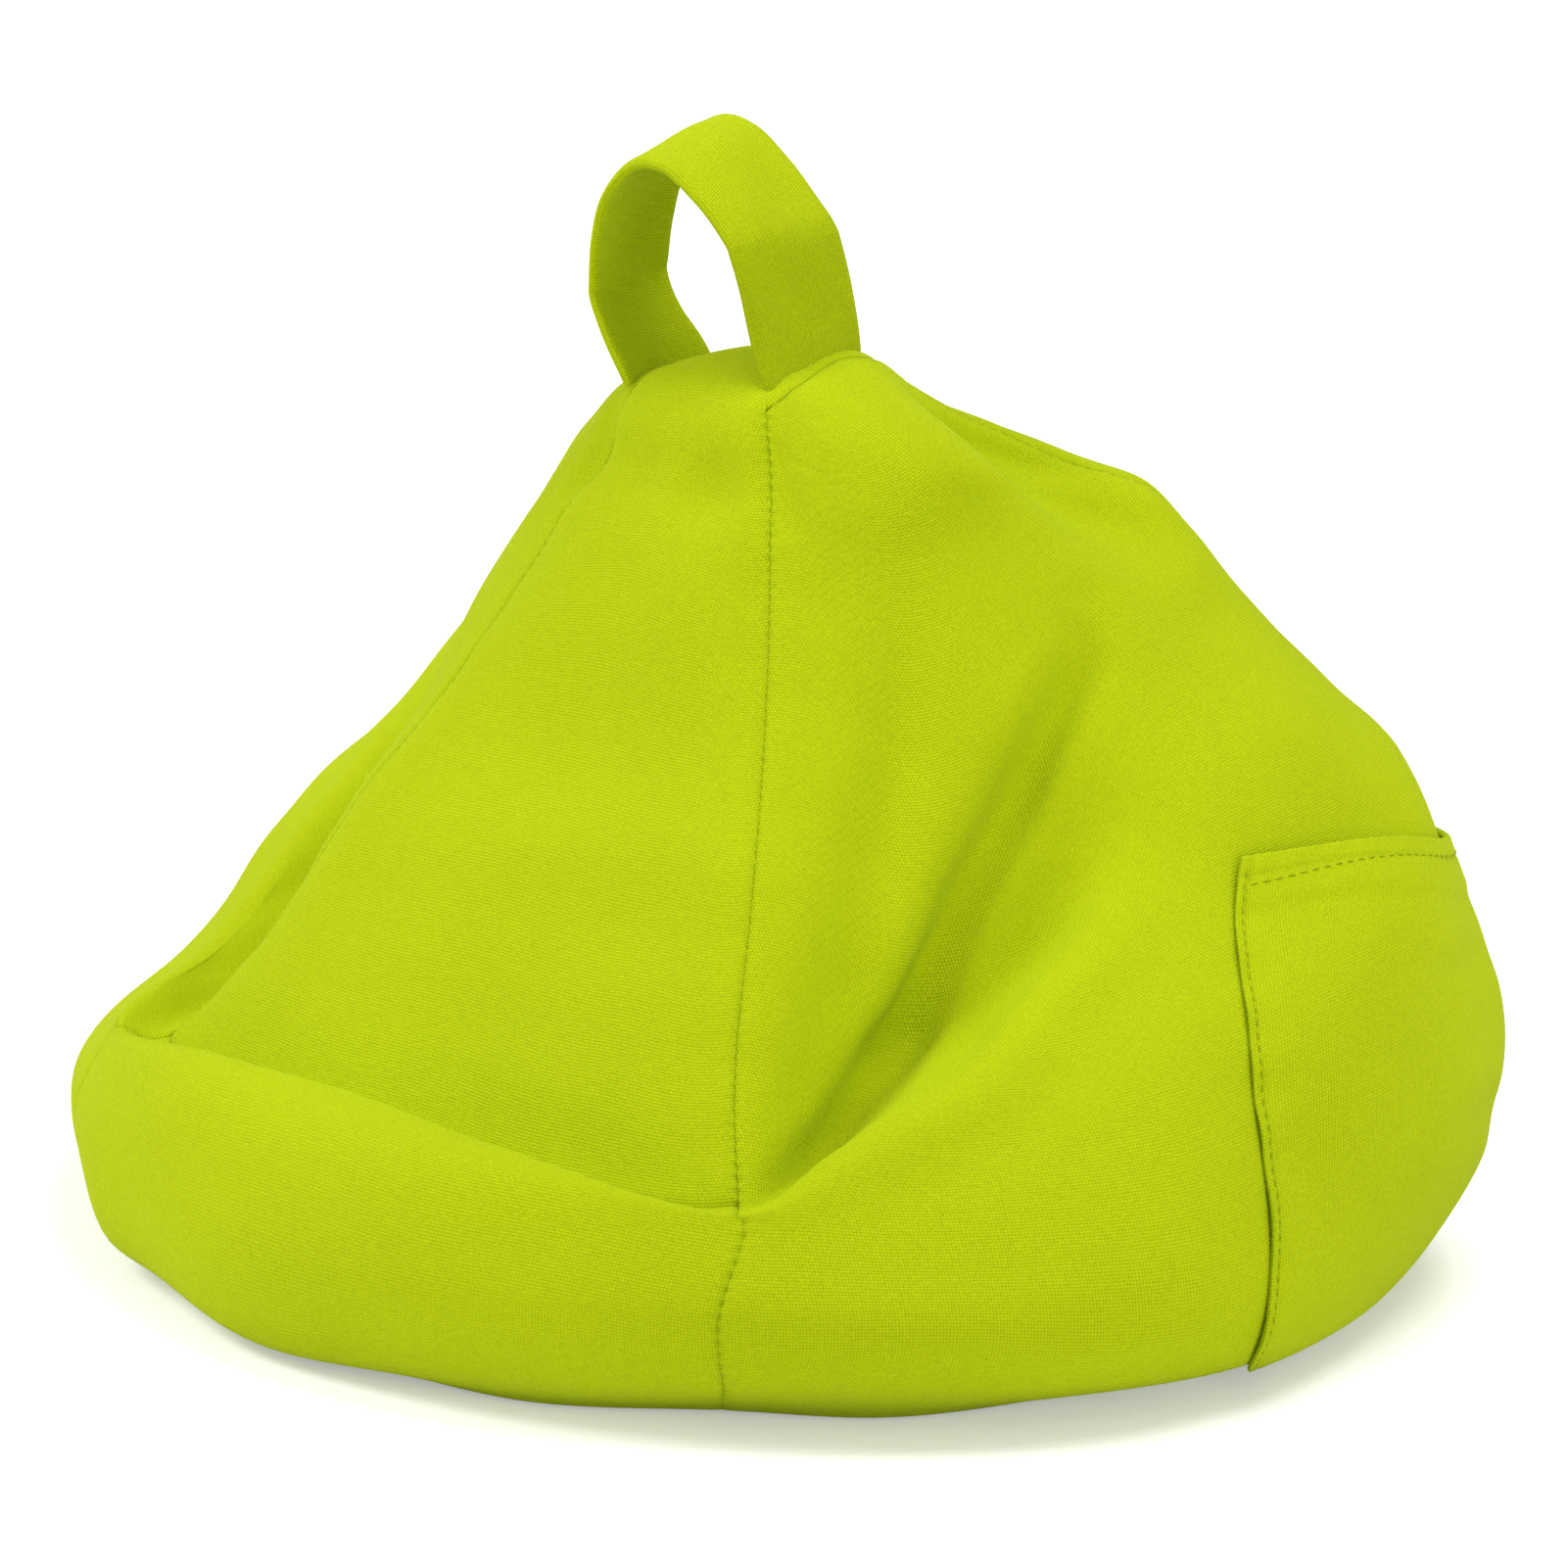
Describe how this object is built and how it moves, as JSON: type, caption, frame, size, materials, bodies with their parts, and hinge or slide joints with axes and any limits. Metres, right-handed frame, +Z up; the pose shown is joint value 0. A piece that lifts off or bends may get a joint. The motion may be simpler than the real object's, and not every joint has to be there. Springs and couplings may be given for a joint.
{
  "type": "tablet cushion stand",
  "caption": "Bead-filled fabric cushion with a padded lip, a trough and a sloping back that props up a flat device; carrying loop on top and a side pocket.",
  "frame": {"origin": "on the floor, on the base's rest face, under the middle of the cushion's width and 118 mm behind the front of its lip", "axes": "+Z up, -Y to the front with the lip, +X to the right-hand side with the pocket"},
  "size_m": [0.3039, 0.2463, 0.2247],
  "materials": {
    "cover_fabric": "plain weave, matt",
    "beads": "expanded polystyrene beads",
    "zip_tape": "woven tape, matt",
    "zip_teeth": "moulded coil",
    "zip_metal": "satin"
  },
  "bodies": {
    "root": {"lip_panel": "cover_fabric", "backrest_panel": "cover_fabric", "side_panel_right": "cover_fabric", "side_panel_left": "cover_fabric", "back_panel": "cover_fabric", "base_panel": "cover_fabric", "handle_strap": "cover_fabric", "side_pocket": "cover_fabric", "bead_filling": "beads", "zip_tape_front": "zip_tape", "zip_tape_rear": "zip_tape", "zip_chain": "zip_teeth", "zip_slider": "zip_metal", "zip_pull": "zip_metal"}
  },
  "joints": []
}
